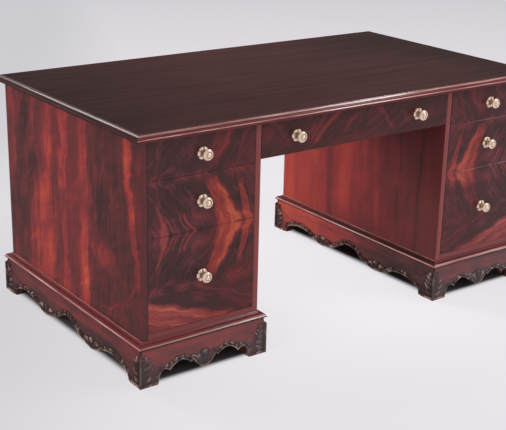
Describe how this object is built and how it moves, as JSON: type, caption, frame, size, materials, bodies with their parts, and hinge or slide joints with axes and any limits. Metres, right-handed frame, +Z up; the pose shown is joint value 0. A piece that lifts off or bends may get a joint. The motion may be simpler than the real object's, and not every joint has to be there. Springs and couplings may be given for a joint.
{
  "type": "pedestal desk",
  "caption": "Mahogany kneehole pedestal desk with flame-veneered drawers, brass knobs, a moulded top and plinths carved into scalloped bracket feet.",
  "frame": {"origin": "on the floor, under the middle of the desk's top", "axes": "+Z up, +X along the desk to the right of someone facing the drawers, the drawers face -Y"},
  "size_m": [1.64, 0.926, 0.762],
  "materials": {
    "flame_mahogany": "polished",
    "figured_mahogany": "polished",
    "mahogany": "polished",
    "lining_wood": "matte",
    "brass": "polished"
  },
  "bodies": {
    "desk": {"centre_runners": "lining_wood", "desk_top": "figured_mahogany", "kneehole_back_rail": "mahogany", "kneehole_top_rail": "lining_wood", "left_back_panel": "mahogany", "left_bottom_board": "lining_wood", "left_bottom_rail": "mahogany", "left_corner_posts": "mahogany", "left_drawer_rails": "lining_wood", "left_drawer_runners": "lining_wood", "left_inner_side": "figured_mahogany", "left_outer_side": "figured_mahogany", "left_plinth_back": "mahogany", "left_plinth_front": "mahogany", "left_plinth_inner_side": "mahogany", "left_plinth_moulding": "mahogany", "left_plinth_outer_side": "mahogany", "plinth_corner_blocks": "lining_wood", "right_back_panel": "mahogany", "right_bottom_board": "lining_wood", "right_bottom_rail": "mahogany", "right_corner_posts": "mahogany", "right_drawer_rails": "lining_wood", "right_drawer_runners": "lining_wood", "right_inner_side": "figured_mahogany", "right_outer_side": "figured_mahogany", "right_plinth_back": "mahogany", "right_plinth_front": "mahogany", "right_plinth_inner_side": "mahogany", "right_plinth_moulding": "mahogany", "right_plinth_outer_side": "mahogany", "top_edge_moulding": "mahogany"},
    "left_top_drawer": {"left_top_drawer_bottom": "lining_wood", "left_top_drawer_box": "lining_wood", "left_top_drawer_front": "flame_mahogany", "left_top_drawer_knob": "brass"},
    "left_middle_drawer": {"left_middle_drawer_bottom": "lining_wood", "left_middle_drawer_box": "lining_wood", "left_middle_drawer_front": "flame_mahogany", "left_middle_drawer_knob": "brass"},
    "left_bottom_drawer": {"left_bottom_drawer_bottom": "lining_wood", "left_bottom_drawer_box": "lining_wood", "left_bottom_drawer_front": "flame_mahogany", "left_bottom_drawer_knob": "brass"},
    "right_top_drawer": {"right_top_drawer_bottom": "lining_wood", "right_top_drawer_box": "lining_wood", "right_top_drawer_front": "flame_mahogany", "right_top_drawer_knob": "brass"},
    "right_middle_drawer": {"right_middle_drawer_bottom": "lining_wood", "right_middle_drawer_box": "lining_wood", "right_middle_drawer_front": "flame_mahogany", "right_middle_drawer_knob": "brass"},
    "right_bottom_drawer": {"right_bottom_drawer_bottom": "lining_wood", "right_bottom_drawer_box": "lining_wood", "right_bottom_drawer_front": "flame_mahogany", "right_bottom_drawer_knob": "brass"},
    "centre_drawer": {"centre_drawer_bottom": "lining_wood", "centre_drawer_box": "lining_wood", "centre_drawer_front": "flame_mahogany", "centre_drawer_knob": "brass"}
  },
  "joints": [
    {"name": "left_top_drawer_slide", "type": "slide", "parent": "desk", "child": "left_top_drawer", "axis": [0, -1, 0], "range_m": [0, 0.46]},
    {"name": "left_middle_drawer_slide", "type": "slide", "parent": "desk", "child": "left_middle_drawer", "axis": [0, -1, 0], "range_m": [0, 0.46]},
    {"name": "left_bottom_drawer_slide", "type": "slide", "parent": "desk", "child": "left_bottom_drawer", "axis": [0, -1, 0], "range_m": [0, 0.46]},
    {"name": "right_top_drawer_slide", "type": "slide", "parent": "desk", "child": "right_top_drawer", "axis": [0, -1, 0], "range_m": [0, 0.46]},
    {"name": "right_middle_drawer_slide", "type": "slide", "parent": "desk", "child": "right_middle_drawer", "axis": [0, -1, 0], "range_m": [0, 0.46]},
    {"name": "right_bottom_drawer_slide", "type": "slide", "parent": "desk", "child": "right_bottom_drawer", "axis": [0, -1, 0], "range_m": [0, 0.46]},
    {"name": "centre_drawer_slide", "type": "slide", "parent": "desk", "child": "centre_drawer", "axis": [0, -1, 0], "range_m": [0, 0.42]}
  ]
}
